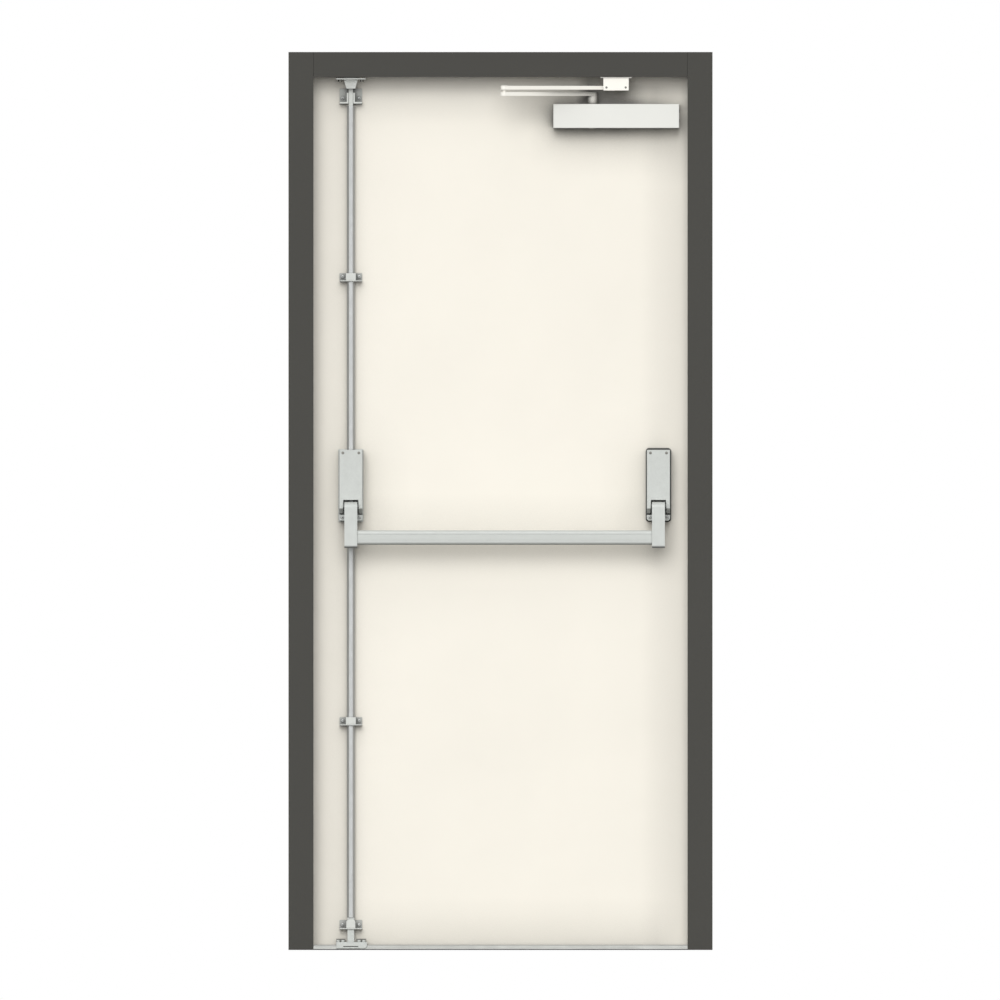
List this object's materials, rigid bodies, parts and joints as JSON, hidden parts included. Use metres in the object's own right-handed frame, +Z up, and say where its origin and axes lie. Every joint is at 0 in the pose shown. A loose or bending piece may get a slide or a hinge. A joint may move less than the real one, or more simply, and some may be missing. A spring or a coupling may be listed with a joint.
{
  "type": "acoustic door",
  "caption": "Single-leaf steel acoustic door in a dark frame, with push-bar exit device, vertical rods and bolts, overhead closer with folding arm, threshold and seals",
  "frame": {"origin": "on the floor, midway across the clear opening and midway through the frame's depth", "axes": "+X to the right for somebody who faces the push side, +Y away from them, the way the leaf opens, +Z up"},
  "size_m": [1.02, 0.22, 2.16],
  "materials": {
    "frame_paint": "matt dark grey powder coat",
    "leaf_paint": "matt cream powder coat",
    "silver_paint": "satin silver paint",
    "cover_paint": "satin off-white paint",
    "cream_paint": "satin pale cream paint",
    "threshold_metal": "satin extruded bar",
    "seal_rubber": "matt black",
    "core_wool": "pressed mineral wool",
    "packer_plastic": "matt black",
    "screw_steel": "bright zinc plate",
    "hinge_steel": "satin steel"
  },
  "bodies": {
    "frame": {"left_jamb": "frame_paint", "right_jamb": "frame_paint", "frame_head": "frame_paint", "threshold": "threshold_metal", "frame_seal": "seal_rubber", "top_keep": "silver_paint", "bottom_keep": "silver_paint", "arm_bracket": "cream_paint", "hinge_frame_low": "hinge_steel", "hinge_frame_middle": "hinge_steel", "hinge_frame_top": "hinge_steel"},
    "leaf": {"leaf_pan": "leaf_paint", "leaf_rear_sheet": "leaf_paint", "acoustic_core": "core_wool", "hinge_leaf_low": "hinge_steel", "hinge_leaf_middle": "hinge_steel", "hinge_leaf_top": "hinge_steel", "lower_rod_guide": "silver_paint", "upper_rod_guide": "silver_paint", "top_guide": "silver_paint", "bottom_guide": "silver_paint", "left_case_base": "silver_paint", "left_case_cover": "silver_paint", "right_packer": "packer_plastic", "right_case_base": "silver_paint", "right_case_cover": "silver_paint", "closer_back_plate": "silver_paint", "closer_housing": "cover_paint"},
    "push_bar": {"push_bar": "silver_paint", "left_lever_arm": "silver_paint", "right_lever_arm": "silver_paint"},
    "top_bolt": {"upper_rod": "silver_paint", "top_bolt": "silver_paint"},
    "bottom_bolt": {"lower_rod": "silver_paint", "bottom_bolt": "silver_paint"},
    "closer_main_arm": {"closer_spindle": "screw_steel", "main_arm": "cream_paint", "elbow_pin": "screw_steel"},
    "closer_forearm": {"forearm": "cream_paint"}
  },
  "joints": [
    {"name": "leaf_swing", "type": "hinge", "parent": "frame", "child": "leaf", "pos_m": [0.472, 0.074, 1.06], "axis": [0, 0, -1], "range_deg": [0, 110], "stiffness_Nm_per_rad": 6, "springref_deg": -171.89},
    {"name": "push_bar_press", "type": "hinge", "parent": "leaf", "child": "push_bar", "pos_m": [0.01, -0.03, 1.066], "axis": [1, 0, 0], "range_deg": [0, 18], "stiffness_Nm_per_rad": 8, "springref_deg": -25.78},
    {"name": "top_bolt_slide", "type": "slide", "parent": "leaf", "child": "top_bolt", "axis": [0, 0, -1], "range_m": [0, 0.01401]},
    {"name": "bottom_bolt_slide", "type": "slide", "parent": "leaf", "child": "bottom_bolt", "axis": [0, 0, 1], "range_m": [0, 0.01401]},
    {"name": "main_arm_turn", "type": "hinge", "parent": "leaf", "child": "closer_main_arm", "pos_m": [0.221, -0.02, 2.045], "axis": [0, 0, 1], "range_deg": [0, 108.67]},
    {"name": "forearm_turn", "type": "hinge", "parent": "frame", "child": "closer_forearm", "pos_m": [0.264, -0.033, 2.074], "axis": [0, 0, -1], "range_deg": [0, 108.56]}
  ],
  "couplings": [
    {"joint": "top_bolt_slide", "follows": "push_bar_press", "m_per_rad": 0.044563},
    {"joint": "bottom_bolt_slide", "follows": "push_bar_press", "m_per_rad": 0.044563},
    {"joint": "main_arm_turn", "follows": "leaf_swing", "ratio": 0.98788},
    {"joint": "forearm_turn", "follows": "leaf_swing", "ratio": 0.98682}
  ]
}
